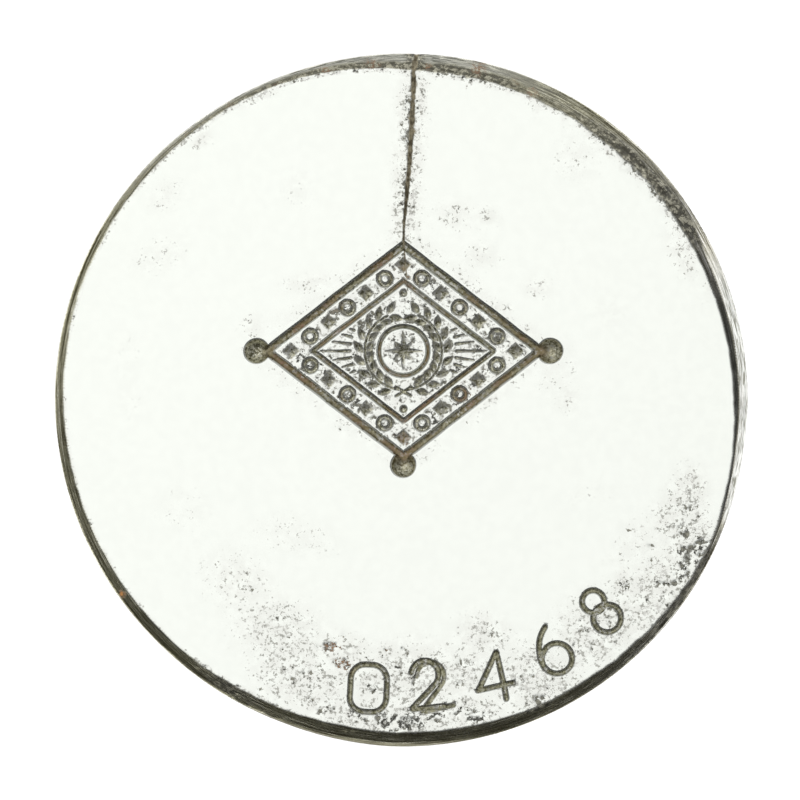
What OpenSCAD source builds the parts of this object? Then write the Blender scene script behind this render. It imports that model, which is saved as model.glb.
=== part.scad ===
// A round steel die for striking a badge. The badge's design is sunk in the polished
// face, a crack runs from the design's top corner to the rim, and five plain numerals
// are punched along the lower edge. The die is one block of steel and stands on its
// base, with the struck face up and the origin at the middle of the base.

/* [Block] */
// Diameter of the turned block
die_d = 70; // [66:1:80]
// Height of the block
die_h = 35; // [25:1:50]
// Slope of the rim's bevel below the face, in degrees
bevel_angle = 34; // [20:1:45]
// Width of the bevel where it is narrow
bevel_narrow = 0.8; // [0.5:0.1:1.2]
// Width of the bevel where it is wide
bevel_wide = 1.8; // [1.3:0.1:2.4]
// Direction of the bevel's narrow sides, in degrees from +X
bevel_turn = 145; // [0:5:180]
// Width of the chamfer round the base
base_chamfer = 1; // [0.4:0.1:1.5]

/* [Sunk frame] */
// Half width of the rhombus
frame_a = 14.5; // [14:0.25:16]
// Half height of the rhombus
frame_b = 11.2; // [11:0.1:12]
// Distance of the design's centre above the face's centre
frame_up = 4.9; // [4:0.1:6]
// Width of the outer bar at the face
outer_bar_w = 0.9; // [0.7:0.05:1]
// Depth of the outer bar
outer_bar_depth = 0.75; // [0.5:0.05:1]
// Width of the inner bar at the face
inner_bar_w = 0.55; // [0.4:0.05:0.6]
// Depth of the inner bar
inner_bar_depth = 0.55; // [0.45:0.05:0.8]
// Distance between the two bars' outer edges
band_w = 3; // [2.9:0.05:3.1]
// Depth of the band's floor between the bars
band_depth = 0.35; // [0.2:0.05:0.4]
// Radius of the ball outside three of the corners, at the face
ball_r = 1.3; // [1:0.05:1.4]
// Depth of the ball
ball_depth = 0.9; // [0.6:0.05:1]

/* [Sunk ornaments] */
// Half width of each ring and lozenge in the band
ornament_r = 0.9; // [0.7:0.02:0.92]
// Depth of the rings and lozenges below the band's floor
ornament_depth = 0.38; // [0.3:0.02:0.5]
// Radius of the wreath's stem
wreath_r = 3.9; // [3.8:0.05:4]
// Number of leaf pairs on each branch
leaf_pairs = 9; // [6:1:10]
// Length of a leaf
leaf_l = 1.7; // [1.4:0.05:1.75]
// Width of a leaf
leaf_w = 0.8; // [0.6:0.05:0.9]
// Depth of a leaf at its rib
leaf_depth = 0.35; // [0.25:0.05:0.6]
// Radius of the sunk disc that holds the star
disc_r = 2.7; // [2.5:0.05:2.75]
// Depth of the disc's floor
disc_depth = 0.3; // [0.2:0.05:0.4]
// Width of the deeper border round the disc
border_w = 0.45; // [0.3:0.05:0.5]
// Depth of the border below the disc's floor
border_depth = 0.25; // [0.1:0.05:0.4]
// Reach of the star's long points
star_r = 2.15; // [1.8:0.05:2.2]
// Depth of the star's centre below the disc's floor
star_depth = 0.5; // [0.3:0.05:0.7]
// Number of rays on each side of the wreath
rays = 7; // [3:2:9]

/* [Punched numerals] */
// Height of a numeral, measured to the middle of its strokes
digit_h = 4.75; // [4:0.25:5]
// Distance from the rim to the arc through the numerals' middles
digit_inset = 5.7; // [5.4:0.1:7]
// Width of a punched stroke at the face
stroke_w = 0.56; // [0.4:0.02:0.7]
// Depth of a punched stroke
stroke_depth = 0.32; // [0.2:0.02:0.5]

/* [Crack] */
// Depth of the crack below the face
crack_depth = 0.8; // [0.6:0.1:2]
// How far the crack runs down the side
crack_down = 24; // [10:1:24]

/* [Hidden] */
$fn = 96;

// Shapes that are cut in the face start this far above it, and those that are cut in a
// floor below the face start this far above that floor.
above = 0.3;
above_floor = 0.02;
body_r = die_d / 2;
// The face is an ellipse, and its middle lies a little to the left of the block's axis.
face_major = body_r - bevel_narrow;
face_minor = body_r - bevel_wide;
face_shift = [-0.27, -0.06];
// The design's centre, a hair to the right of the axis.
frame_x = 0.16;
// Distance from the rhombus's centre to its sides.
frame_in = frame_a * frame_b / norm([frame_a, frame_b]);
// Width of a groove's floor, as part of its width at the face.
bar_floor = 0.5;
stroke_floor = 0.35;
crack_floor = 0.4;
// Distance from a corner of the rhombus to the middle of its ball.
ball_gap = 0.3;
// Sizes of a ring in the band, as parts of an ornament's half width: at its floor, and
// the core left standing in it.
ring_floor = 0.85;
ring_core = 0.34;
// A ring is this much wider at the top of the cut than an ornament.
ring_flare = 0.08;
// Depth of a lozenge, as part of a ring's.
lozenge_deep = 1.2;
// Ornaments between two corners of the band, the corners left out.
ornaments_per_side = 5;
// The wreath's branches start this far from its foot and stop this far from its top.
branch_start = 16;
branch_stop = 24;
// Angle between a leaf and the stem, and the distance of its root from the stem.
leaf_splay = 34;
leaf_off = 0.12;
// Corners along each edge of a leaf, and how far its widest part lies towards the tip:
// at 1 it is in the middle, and below 1 it is nearer the root.
leaf_corners = 6;
leaf_belly = 0.85;
// The stem runs on this far below the first leaves.
stem_tail = 8;
stem_w = 0.24;
stem_depth = 0.4;
// Half the tie's width and the height of its ends, and their distance from the centre.
tie_half_w = 0.75;
tie_half_h = 0.45;
tie_y = -4.1;
// How far the border's walls slope in.
border_wall = 0.1;
star_points = 8;
// Reach of the star's short points and of its notches, as parts of the long points'.
star_short = 0.66;
star_notch = 0.34;
ray_step = 7.5;
ray_w = 0.3;
ray_depth = 0.35;
// Radius where the rays start, just outside the leaves, and their distance from the bar.
ray_start = 5.35;
ray_gap = 0.3;
// A bead above and below the wreath.
bead_y = 5.85;
bead_r = 0.55;
bead_sunk = 0.2;
// A second, shallower blow of the punch, seen beside the second numeral.
ghost_shift = [0.62, 0.35];
ghost_turn = 9;
ghost_depth = 0.15;

// Each numeral: the figure, its angle on the arc, its own lean and its distance off the arc.
FIGURE = 0;
ARC_ANGLE = 1;
LEAN = 2;
OFF_ARC = 3;
numerals = [
    [0, -96.6, 4, 0],
    [2, -85.2, 1, -0.5],
    [4, -71.6, -6, 0.2],
    [6, -59.0, -3, 0.3],
    [8, -46.7, -4, 0]
];

// The crack from the design's top corner to the rim: part of the way there, sideways
// offset from the corner, and width at the face.
PART_WAY = 0;
SIDEWAYS = 1;
CRACK_W = 2;
crack_course = [
    [1.02, 1.32, 0.42],
    [0.91, 1.0, 0.44],
    [0.8, 1.02, 0.42],
    [0.64, 0.86, 0.5],
    [0.54, 0.8, 0.46],
    [0.45, 0.62, 0.42],
    [0.28, 0.38, 0.34],
    [0.13, 0.16, 0.28],
    [0, 0, 0.22],
    [-0.08, 0.12, 0.2]
];
// The crack on the side goes this deep into the wall.
side_crack_depth = 1;
// Its course: part of the way down, sideways offset and width.
side_course = [
    [0, 0, 0.42],
    [0.1, 0.1, 0.38],
    [0.26, 0.45, 0.34],
    [0.5, -0.05, 0.28],
    [0.8, 0.65, 0.16],
    [1, 0.45, 0.08]
];

function arc(c, r, a0, a1, n) =
    [for (i = [0:n]) let (a = a0 + (a1 - a0) * i / n) c + r * [cos(a), sin(a)]];

function side_of(v) = [-v[1], v[0]] / norm(v);

// Direction across a path at point i, lengthened at a corner so that the width holds.
function mitre(p, i, closed) =
    let (
        n = len(p),
        back = closed || i > 0 ? side_of(p[i] - p[(i + n - 1) % n]) : undef,
        ahead = closed || i < n - 1 ? side_of(p[(i + 1) % n] - p[i]) : undef,
        both = is_undef(back) ? ahead : is_undef(ahead) ? back : back + ahead
    )
    is_undef(back) || is_undef(ahead) ? both : both * 2 / (both * both);

// A groove with sloping walls along a path. Its widths are those at the face, one for
// each point or one for all, and the face is at z = 0.
module groove(path, width, depth, floor_part = bar_floor, closed = false) {
    n = len(path);
    segments = closed ? n : n - 1;
    rise = 1 + (1 - floor_part) * above / depth;
    points = [
        for (i = [0:n - 1])
            let (
                across = mitre(path, i, closed) * (is_list(width) ? width[i] : width) / 2,
                top = across * rise,
                floor = across * floor_part
            )
            each [
                [path[i][0] + top[0], path[i][1] + top[1], above],
                [path[i][0] - top[0], path[i][1] - top[1], above],
                [path[i][0] - floor[0], path[i][1] - floor[1], -depth],
                [path[i][0] + floor[0], path[i][1] + floor[1], -depth]
            ]
    ];
    walls = [
        for (i = [0:segments - 1], k = [0:3])
            [4 * i + k, 4 * ((i + 1) % n) + k,
             4 * ((i + 1) % n) + (k + 1) % 4, 4 * i + (k + 1) % 4]
    ];
    ends = closed ? [] : [[0, 1, 2, 3], [for (k = [3:-1:0]) 4 * (n - 1) + k]];
    polyhedron(points, concat(walls, ends));
}

// A pit with a flat outline at z = 0 and its deepest point below the middle. It starts a
// little above z = 0, where its outline is wider.
module pit(outline, depth, start = above) {
    n = len(outline);
    middle = [for (k = [0, 1]) let (c = [for (p = outline) p[k]]) (max(c) + min(c)) / 2];
    grow = 1 + start / depth;
    points = concat(
        [for (p = outline) let (q = middle + (p - middle) * grow) [q[0], q[1], start]],
        [[middle[0], middle[1], -depth]]
    );
    sides = [for (i = [0:n - 1]) [i, (i + 1) % n, n]];
    polyhedron(points, concat(sides, [[for (i = [n - 1:-1:0]) i]]));
}

function rhombus(inset) =
    let (k = 1 - inset / frame_in)
    k * [[frame_a, 0], [0, frame_b], [-frame_a, 0], [0, -frame_b]];

module ball(at) {
    sphere_r = (ball_r * ball_r + ball_depth * ball_depth) / (2 * ball_depth);
    translate([at[0], at[1], sphere_r - ball_depth]) sphere(sphere_r);
}

module frame_cut() {
    groove(rhombus(outer_bar_w / 2), outer_bar_w, outer_bar_depth, closed = true);
    groove(rhombus(band_w + inner_bar_w / 2), inner_bar_w, inner_bar_depth, closed = true);
    side = frame_a + ball_gap;
    for (at = [[side, 0], [-side, 0], [0, -frame_b - ball_gap]]) ball(at);
    // The band's floor reaches under both bars, which are deeper.
    translate([0, 0, -band_depth]) linear_extrude(height = band_depth + above)
        polygon(concat(rhombus(outer_bar_w / 2), rhombus(band_w + inner_bar_w / 2)),
                [[0, 1, 2, 3], [4, 5, 6, 7]]);
}

module ring_cut() {
    translate([0, 0, -ornament_depth]) difference() {
        cylinder(h = ornament_depth + above, r1 = ornament_r * ring_floor, r2 = ornament_r + ring_flare);
        translate([0, 0, -above])
            cylinder(h = ornament_depth + 3 * above, r = ornament_r * ring_core);
    }
}

module lozenge_cut() {
    pit([[ornament_r, 0], [0, ornament_r], [-ornament_r, 0], [0, -ornament_r]],
        ornament_depth * lozenge_deep, above_floor);
}

module band_cut() {
    corners = rhombus((band_w + outer_bar_w) / 2);
    steps = ornaments_per_side + 1;
    for (s = [0:3], i = [0:steps - 1]) {
        at = corners[s] + (corners[(s + 1) % 4] - corners[s]) * i / steps;
        translate([at[0], at[1], -band_depth]) {
            if (i % 2 == 0) lozenge_cut();
            else ring_cut();
        }
    }
}

// A point on a leaf's edge, part of the way from its root to its tip.
function leaf_edge(t, side) =
    [leaf_l * t, side * leaf_w / 2 * sin(180 * pow(t, leaf_belly))];

module leaf_cut() {
    n = leaf_corners;
    out = [for (i = [0:n - 1]) leaf_edge(i / n, 1)];
    back = [for (i = [n:-1:1]) leaf_edge(i / n, -1)];
    pit(concat(out, back), leaf_depth);
}

module wreath_cut() {
    for (side = [0, 1]) mirror([side, 0, 0]) {
        first = -90 + branch_start;
        last = 90 - branch_stop;
        groove(arc([0, 0], wreath_r, first - stem_tail, last, 16), stem_w, stem_depth);
        for (i = [0:leaf_pairs - 1], out = [-1, 1]) {
            a = first + (last - first) * i / (leaf_pairs - 1);
            root = (wreath_r + out * leaf_off) * [cos(a), sin(a)];
            translate([root[0], root[1], 0]) rotate(a + 90 - out * leaf_splay) leaf_cut();
        }
    }
    // The tie is a cross of two grooves, one a hair deeper than the other.
    for (side = [-1, 1])
        groove([[-side * tie_half_w, tie_y - tie_half_h], [side * tie_half_w, tie_y + tie_half_h]],
               ray_w, ray_depth + side * 0.01);
}

// The disc, sunk deeper round its edge.
module disc_cut() {
    border_in = disc_r - border_w;
    floor_z = -disc_depth - border_depth;
    rotate_extrude()
        polygon([[0, above], [0, -disc_depth], [border_in, -disc_depth], [border_in + border_wall, floor_z],
                 [disc_r - border_wall, floor_z], [disc_r, -disc_depth], [disc_r, above]]);
}

module star_cut() {
    outline = [
        for (i = [0:2 * star_points - 1])
            let (r = star_r * (i % 2 == 1 ? star_notch : i % 4 == 0 ? 1 : star_short))
            r * [cos(i * 180 / star_points), sin(i * 180 / star_points)]
    ];
    translate([0, 0, -disc_depth]) pit(outline, star_depth, above_floor);
}

// Distance from the design's centre to the inner field's edge in a direction.
function field_reach(a) =
    let (k = 1 - (band_w + inner_bar_w) / frame_in)
    1 / (abs(cos(a)) / (k * frame_a) + abs(sin(a)) / (k * frame_b));

module ray_cut() {
    for (side = [0, 180], i = [0:rays - 1]) {
        a = side + (i - (rays - 1) / 2) * ray_step;
        reach = field_reach(a) - ray_gap;
        if (reach > ray_start + ray_gap)
            groove([ray_start * [cos(a), sin(a)], reach * [cos(a), sin(a)]], ray_w, ray_depth);
    }
    for (side = [-1, 1]) translate([0, side * bead_y, bead_r - bead_sunk]) sphere(bead_r);
}

// Sizes of the numerals' strokes, as parts of a numeral's height.
zero_half_w = 0.385;
zero_corner = 0.3;
two_r = 0.295;
two_half_w = 0.335;
four_stem = 0.16;
four_bar_y = -0.2;
six_r = 0.325;
six_back_r = 0.79;
eight_top_r = 0.24;
eight_foot_r = 0.3;
// The strokes of a numeral one unit high, as [path, closed], drawn about its centre.
function strokes(figure) =
    // A rounded box, from four quarter circles.
    figure == 0 ? let (x = zero_half_w - zero_corner, y = 0.5 - zero_corner) [[concat(
        arc([x, y], zero_corner, 0, 90, 4), arc([-x, y], zero_corner, 90, 180, 4),
        arc([-x, -y], zero_corner, 180, 270, 4), arc([x, -y], zero_corner, 270, 360, 4)), true]] :
    // A bow that runs down to the foot, and the foot.
    figure == 2 ? [
        [concat(arc([0, 0.5 - two_r], two_r, 165, -38, 9), [[-two_half_w, -0.48]]), false],
        [[[-two_half_w, -0.5], [two_half_w, -0.5]], false]] :
    // The slope, the bar and the stem.
    figure == 4 ? [
        [[[four_stem - 0.02, 0.5], [-0.37, four_bar_y + 0.02]], false],
        [[[-0.4, four_bar_y], [0.37, four_bar_y]], false],
        [[[four_stem, 0.5], [four_stem, -0.5]], false]] :
    // The ring and the back, a wide arc that starts on the ring's left side.
    figure == 6 ? [
        [arc([0, six_r - 0.5], six_r, 0, 345, 18), true],
        [arc([six_back_r - six_r, six_r - 0.49], six_back_r, 176, 118, 7), false]] :
    // Two rings for an 8.
    [
        [arc([0, 0.5 - eight_top_r], eight_top_r, 0, 340, 14), true],
        [arc([0, eight_foot_r - 0.5], eight_foot_r, 10, 350, 16), true]];

module numeral_cut(figure, depth) {
    all = strokes(figure);
    for (i = [0:len(all) - 1])
        groove(all[i][0] * digit_h, stroke_w, depth + i * 0.01, stroke_floor, closed = all[i][1]);
}

module numerals_cut() {
    arc_r = body_r - digit_inset;
    for (row = numerals) {
        a = row[ARC_ANGLE];
        r = arc_r + row[OFF_ARC];
        translate(r * [cos(a), sin(a), 0]) rotate(a + 90 + row[LEAN])
            numeral_cut(row[FIGURE], stroke_depth);
    }
    struck_twice = numerals[1];
    a = struck_twice[ARC_ANGLE];
    translate(arc_r * [cos(a), sin(a), 0] + [ghost_shift[0], ghost_shift[1], 0])
        rotate(a + 90 + ghost_turn) numeral_cut(struck_twice[FIGURE], ghost_depth);
}

module crack_cut() {
    foot = [frame_x, frame_up + frame_b];
    way = body_r - foot[1];
    path = [for (row = crack_course) foot + [row[SIDEWAYS], row[PART_WAY] * way]];
    groove(path, [for (row = crack_course) row[CRACK_W]], crack_depth, crack_floor);
    // The same crack on the side, as a strip sunk in the side wall.
    x = path[0][0];
    edges = [for (out = [-1, 1])
        [for (row = side_course) [x + row[SIDEWAYS] + out * row[CRACK_W] / 2, -row[PART_WAY] * crack_down]]];
    last = len(side_course) - 1;
    translate([0, body_r + side_crack_depth, 0]) rotate([90, 0, 0])
        linear_extrude(height = 2 * side_crack_depth)
            polygon(concat(edges[0], [for (i = [last:-1:0]) edges[1][i]]));
}

// The turned block before anything is cut in it, with its bevel ground by hand and so
// wider on two sides. The bevel is a cone whose point lies well above the face.
module blank() {
    point_h = face_major * tan(bevel_angle);
    cone_h = die_h + point_h / 2;
    intersection() {
        rotate_extrude()
            polygon([[0, 0], [body_r - base_chamfer, 0], [body_r, base_chamfer],
                     [body_r, die_h], [0, die_h]]);
        translate([face_shift[0], face_shift[1], 0]) rotate(bevel_turn)
            scale([1, face_minor / face_major, 1])
                cylinder(h = cone_h, r1 = face_major * (die_h + point_h) / point_h, r2 = face_major / 2);
    }
}

// Moves a cut from the origin to the design's place on the face.
module in_design() {
    translate([frame_x, frame_up, die_h]) children();
}

module die_block() {
    color("gainsboro") difference() {
        blank();
        in_design() frame_cut();
        in_design() band_cut();
        in_design() wreath_cut();
        in_design() disc_cut();
        in_design() star_cut();
        in_design() ray_cut();
        translate([0, 0, die_h]) numerals_cut();
        translate([0, 0, die_h]) crack_cut();
    }
}

die_block();
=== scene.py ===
import math

import bpy
import numpy as np
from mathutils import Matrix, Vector
from mathutils.geometry import delaunay_2d_cdt


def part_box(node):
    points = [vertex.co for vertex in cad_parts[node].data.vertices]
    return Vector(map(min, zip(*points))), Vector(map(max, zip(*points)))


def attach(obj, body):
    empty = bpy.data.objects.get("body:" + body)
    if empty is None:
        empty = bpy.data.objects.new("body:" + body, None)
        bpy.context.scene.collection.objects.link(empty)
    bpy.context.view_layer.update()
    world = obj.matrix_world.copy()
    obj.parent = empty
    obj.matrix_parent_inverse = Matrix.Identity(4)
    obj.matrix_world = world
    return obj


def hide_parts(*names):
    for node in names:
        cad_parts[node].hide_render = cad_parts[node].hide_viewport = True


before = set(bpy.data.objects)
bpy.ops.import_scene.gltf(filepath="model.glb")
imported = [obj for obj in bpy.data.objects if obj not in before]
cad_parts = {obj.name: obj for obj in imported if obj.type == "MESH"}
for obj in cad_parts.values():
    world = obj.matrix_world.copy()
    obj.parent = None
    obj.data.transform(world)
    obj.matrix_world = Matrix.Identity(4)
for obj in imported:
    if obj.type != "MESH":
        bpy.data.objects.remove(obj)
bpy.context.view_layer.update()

# Sizes are in millimetres and angles in degrees. Points are numpy rows of x and y.
MM = 0.001
_, high_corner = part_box("die_block")
BODY_R = high_corner.x / MM
DIE_H = high_corner.z / MM
# The face lies this far below the block's top.
SKIN = 0.03
FACE_Z = DIE_H - SKIN
BASE_CHAMFER = 1.0
BEVEL_SLOPE = math.tan(math.radians(34))
# How softly the face turns into the bevel.
BEVEL_ROUND = 0.08
# On the right and at the foot the rim falls off more steeply outside the bevel, by this
# much, over this turn.
LEDGE_SLOPE = 0.45
LEDGE_TURN = 0.1

# The hand-ground rim: angle counted from +X, width of the bevel, how much of it is the
# steep ledge, how corroded it is, and how far it stays inside the full circle.
RIM = np.array([
    (0, 1.55, 1.04, 0.1, 0.1), (15, 1.78, 1.12, 0.15, 0.1), (25, 1.92, 1.18, 0.3, 0.1),
    (32, 1.95, 0.6, 1.1, 0.1), (37, 1.97, 0, 1.1, 0.08), (45, 1.98, 0, 0.95, 0.03),
    (60, 1.94, 0, 0.65, 0), (70, 1.87, 0, 0.7, 0), (78, 1.83, 0, 0.95, 0),
    (90, 1.78, 0, 0.9, 0.06), (101, 1.26, 0, 0.8, 0.15), (112, 0.93, 0, 0.75, 0.18),
    (125, 0.86, 0, 0.68, 0.18), (135, 0.86, 0, 0.55, 0.08), (165, 0.76, 0, 0.4, 0),
    (172, 0.88, 0, 0.3, 0), (180, 0.93, 0, 0.4, 0), (200, 1.18, 0, 0.35, 0.11),
    (215, 1.35, 0, 0.35, 0.22), (228, 1.48, 0, 0.3, 0.3), (239, 1.62, 0.3, 0.85, 0.29),
    (250, 1.66, 0.6, 0.4, 0.28), (260, 1.63, 0.54, 0.45, 0.14), (268, 1.5, 0.43, 0.45, 0),
    (278, 1.46, 0.36, 0.45, 0), (286, 1.38, 0, 0.4, 0), (292, 1.28, 0, 0.4, 0),
    (305, 1.2, 0, 0.35, 0), (315, 1.06, 0, 0.4, 0), (325, 0.88, 0, 0.7, 0),
    (334, 0.76, 0.1, 0.7, 0.05), (338, 0.8, 0.55, 0.3, 0.08), (345, 1.08, 0.86, 0.1, 0.14),
    (352, 1.28, 1.06, 0.1, 0.2),
])
# The rim is drawn in towards its real outline over this width.
RIM_ZONE = 3.0
# Where the bevel's inner edge is ragged: angle, reach on each side, and how much.
RAGGED = [(68, 55, 1.0), (318, 34, 0.6), (239, 14, 0.8)]
# Where the rim is darkened over its whole width, and where painted shade at the foot darkens only its inner
# half.
DARKER_RIM = [(306, 34, 0.55), (32, 14, 0.45), (187, 20, 0.25)]
INNER_PAINTED_SHADE = (274, 30, 0.65)
# Where the ledge's painted highlight fades out.
LEDGE_FADES = (32, 18, 0.9)
# Where the outer half of the bevel is less corroded and has a painted highlight: fully out to 0.6 of the
# reach on each side of the angle, and not at all past 1.6 of it.
SHEEN_CLEAN_ANGLE = 104
SHEEN_CLEAN_REACH = 31

# The surface is laid out flat as one disc: the face, then the bevel up to BODY_R, and
# outside it rings for the side, the base's chamfer and the base.
SIDE_RINGS = 33.0
CHAMFER_RINGS = 1.4
BASE_RINGS = 16.0
SIDE_END = BODY_R + SIDE_RINGS
CHAMFER_END = SIDE_END + CHAMFER_RINGS
LAYOUT_R = CHAMFER_END + BASE_RINGS
# Radius of the small hub where the base's rings end.
HUB_R = 1.0

# The sunk design, about its own centre.
DESIGN = np.array([0.16, 4.9])
FRAME_A = 14.5
FRAME_B = 11.2
FRAME_IN = FRAME_A * FRAME_B / math.hypot(FRAME_A, FRAME_B)
OUTER_BAR_W = 0.9
OUTER_BAR_DEPTH = 0.72
OUTER_BAR_WALL = 0.2
INNER_BAR_W = 0.55
INNER_BAR_DEPTH = 0.55
INNER_BAR_WALL = 0.13
BAND_W = 3.0
BAND_DEPTH = 0.35
BALL_R = 1.3
BALL_DEPTH = 0.85
# How far outside the frame's corners the balls sit.
BALL_OUT = 0.3
ORNAMENT_R = 0.92
ORNAMENT_DEPTH = 0.36
ORNAMENTS_PER_SIDE = 5
# The rings' radius and half width, as shares of the ornaments' reach.
RING_SHARE = 0.66
RING_HALF_SHARE = 0.3
RING_WALL = 0.14
DISC_R = 2.7
DISC_DEPTH = 0.3
DISC_WALL = 0.14
BORDER_W = 0.45
BORDER_DEPTH = 0.25
BORDER_WALL = 0.12
STAR_R = 2.15
STAR_POINTS = 8
STAR_DEPTH = 0.5
# The reach of the star's short points and of the notches, as shares of its radius.
SHORT_SHARE = 0.66
NOTCH_SHARE = 0.34
WREATH_R = 3.9
BRANCH_HALF_W = 0.12
BRANCH_DEPTH = 0.28
BRANCH_WALL = 0.1
LEAF_PAIRS = 9
LEAF_L = 1.7
LEAF_W = 0.8
LEAF_DEPTH = 0.32
LEAF_SPLAY = 34
# How far round from the foot a branch's leaves begin, how far from the top they end, and how
# far its stem runs on below the first of them.
BRANCH_START = 16
BRANCH_STOP = 24
STEM_TURN = 8
# The two crossed ends of the tie at the wreath's foot.
TIE_HALF_SPAN = 0.75
TIE_FOOT_Y = -4.55
TIE_TOP_Y = -3.65
TIE_HALF_W = 0.15
TIE_DEPTH = 0.3
TIE_WALL = 0.12
RAYS = 7
RAY_STEP = 7.5
RAY_START = 5.35
# The gap between a ray's end and the inner bar, and the shortest ray that is cut.
RAY_GAP = 0.3
SHORTEST_RAY = 0.3
RAY_HALF_WIDTHS = (0.16, 0.09)
RAY_DEPTH = 0.26
RAY_WALL = 0.1
BEAD_AT = 5.85
BEAD_R = 0.42
BEAD_DEPTH = 0.22

# How far outside the frame cut floors still glint.
GLINT_REACH = 2.5

# The punched numerals: figure, angle on their arc, lean, and distance off the arc.
DIGIT_H = 4.75
DIGIT_ARC_R = 29.3
STROKE_W = 0.56
STROKE_DEPTH = 0.3
STROKE_WALL = 0.09
NUMERALS = [
    ("0", -96.6, 4, 0),
    ("2", -85.2, 1, -0.5),
    ("4", -71.6, -6, 0.2),
    ("6", -59.0, -3, 0.3),
    ("8", -46.7, -4, 0),
]
# The weaker second strike of the second figure.
GHOST_SHIFT = np.array([0.62, 0.35])
GHOST_TURN = 9
GHOST_DEPTH = 0.13

# The crack, from inside the design's top corner to the rim and on down the side: x and y in
# the flat layout, and half width.
CRACK = np.array([
    (0.6, 11.0, 0.04), (0.3, 14.2, 0.06), (0.16, 16.1, 0.1), (0.22, 17.9, 0.13),
    (0.4, 19.6, 0.17), (0.52, 21.3, 0.19), (0.68, 22.9, 0.2), (0.8, 24.6, 0.22),
    (0.96, 26.3, 0.24), (1.01, 28.0, 0.26), (1.06, 29.6, 0.22), (1.18, 31.3, 0.21),
    (1.15, 33.0, 0.25), (1.4, 34.6, 0.28), (1.5, 37, 0.22), (1.9, 41, 0.18),
    (1.4, 47, 0.14), (2.1, 54, 0.09), (1.9, 59, 0.03),
])
CRACK_DEPTH = 0.3
# How deep the corrosion pits are.
PIT_DEPTH = 0.05
# How far cut lines waver, and how long their waves are.
WANDER = 0.035
WANDER_SIZE = 1.7

# Where the face is pitted and stained: x, y, reach along and across, turn and density.
WEAR = [
    (28.9, -15.7, 3.4, 1.9, 62, 1.1),
    (28.2, -11.8, 3.2, 2.4, 72, 0.78),
    (22.4, -18.7, 1.1, 0.8, 20, 1.0),
    (27.0, -19.6, 1.6, 1.2, 50, 0.85),
    (26.0, -19.5, 4.8, 3.6, 45, 0.7),
    (28.8, -9.6, 3.2, 2.2, 80, 0.58),
    (23.8, -14.4, 4.6, 2.6, 50, 0.3),
    (20.0, -23.0, 5.6, 3.8, 30, 0.63),
    (13.5, -28.0, 5.4, 3.8, 20, 0.62),
    (5.0, -31.5, 5.0, 1.4, 8, 0.9),
    (-0.5, -32.5, 3.3, 1.15, 2, 1.6),
    (7.5, -31.9, 1.7, 0.8, 15, 1.5),
    (13.8, -30.6, 2.6, 0.9, 25, 0.92),
    (-3.2, -29.0, 1.6, 2.4, 0, 0.72),
    (-3.5, -31.8, 4.8, 1.3, -5, 0.9),
    (1.0, -28.0, 6.5, 3.8, 0, 0.62),
    (8.2, -23.8, 3.0, 2.4, -20, 0.6),
    (7.0, -27.6, 2.8, 2.6, 0, 0.62),
    (-7.6, -30.9, 3.4, 1.3, -12, 0.76),
    (-5.6, -25.6, 2.6, 2.0, 0, 0.62),
    (-6.8, -24.9, 1.5, 0.8, 0, 1.45),
    (-6.1, -26.3, 0.8, 1.3, 20, 1.65),
    (-1.6, -25.7, 0.7, 1.1, 0, 1.15),
    (7.3, -23.0, 1.4, 1.0, 0, 0.6),
    (-12.0, -23.6, 5.6, 3.6, -25, 0.56),
    (-10.0, -28.4, 5.4, 3.0, -20, 0.66),
    (-16.4, -18.5, 4.4, 3.4, -40, 0.4),
    (-10.5, -13.8, 5.0, 2.6, -10, 0.26),
    (-22.0, -11.0, 3.4, 3.0, 0, 0.22),
    (-24.5, 14.5, 4.0, 2.0, 20, 0.27),
    (-24.0, 20.5, 2.6, 1.6, 45, 0.3),
    (-20.3, 26.2, 1.3, 0.8, 40, 0.58),
    (-14.5, 30.6, 2.4, 0.7, 25, 0.5),
    (-9.4, 11.8, 3.2, 1.3, 10, 0.36),
    (-15.0, 7.2, 1.6, 2.0, 0, 0.33),
    (9.4, 8.6, 2.0, 1.5, -30, 0.55),
    (11.5, 6.2, 2.6, 1.6, -40, 0.42),
    (15.2, 3.2, 3.2, 3.4, 0, 0.27),
    (21.0, 9.0, 2.6, 2.2, 0, 0.2),
    (5.2, 18.6, 2.2, 2.0, 0, 0.36),
    (8.6, 18.4, 1.6, 1.2, 0, 0.4),
    (8.0, 14.4, 2.2, 1.6, 0, 0.38),
    (13.6, 11.4, 1.6, 1.4, 0, 0.4),
    (16.6, 0.2, 1.4, 2.0, 0, 0.36),
    (-10.5, 21.5, 2.0, 2.6, 20, 0.24),
    (17.5, 24.5, 2.6, 3.4, 20, 0.28),
    (26.2, 20.6, 2.6, 1.4, -50, 0.5),
    (28.3, 14.8, 3.4, 1.5, -65, 0.42),
    (31.0, 12.0, 1.2, 3.0, 0, 0.3),
    (19.0, -9.5, 5.0, 1.6, 20, 0.18),
    (-27.5, 2.0, 2.0, 8.0, 0, 0.16),
]
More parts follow.
